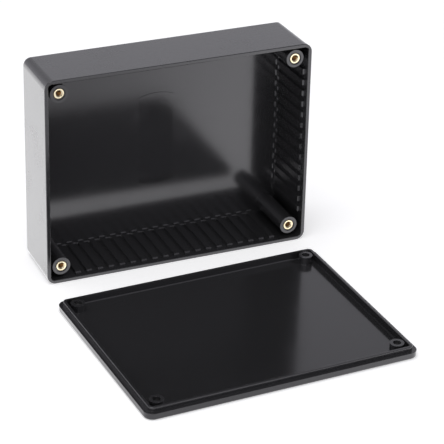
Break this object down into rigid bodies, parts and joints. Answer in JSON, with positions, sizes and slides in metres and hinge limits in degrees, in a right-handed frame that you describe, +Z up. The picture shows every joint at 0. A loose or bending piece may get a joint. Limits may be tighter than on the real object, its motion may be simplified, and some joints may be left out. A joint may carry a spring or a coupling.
{
  "type": "plastic project box",
  "caption": "Flat rectangular plastic box standing on its side, with card guides, threaded inserts and a flanged lid taken off.",
  "frame": {"origin": "middle of the outer face of the tray's lower long wall, on which the tray stands", "axes": "+X along the long sides, +Y from the open front to the back wall, +Z up"},
  "size_m": [0.1242, 0.1451, 0.094],
  "materials": {
    "black_plastic": "moulded, glossy inside and satin outside",
    "brass": "bright, knurled"
  },
  "bodies": {
    "root": {"tray": "black_plastic", "lid": "black_plastic", "insert_top_left": "brass", "insert_top_right": "brass", "insert_bottom_left": "brass", "insert_bottom_right": "brass"}
  },
  "joints": []
}
